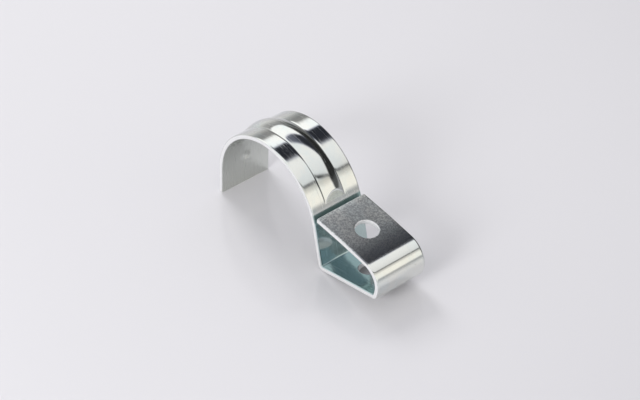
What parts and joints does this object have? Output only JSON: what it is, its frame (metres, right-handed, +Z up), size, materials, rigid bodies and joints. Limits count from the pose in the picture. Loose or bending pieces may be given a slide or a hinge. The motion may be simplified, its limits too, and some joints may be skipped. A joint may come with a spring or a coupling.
{
  "type": "conduit strap",
  "caption": "Folded sheet-steel strap that arches over a conduit with a stiffening bead and doubles back into a screwed foot at one side.",
  "frame": {"origin": "centre of the conduit, half-way across the strip", "axes": "+Y along the conduit, +Z up away from the wall, +X from the leg towards the foot; the leg's end and the foot's fold stand on the plane z = -9 mm"},
  "size_m": [0.0704, 0.018, 0.0319],
  "materials": {
    "zinc_steel": "bright zinc plate over rolled steel, satin with sheared edges"
  },
  "bodies": {
    "root": {"conduit_strap": "zinc_steel"}
  },
  "joints": []
}
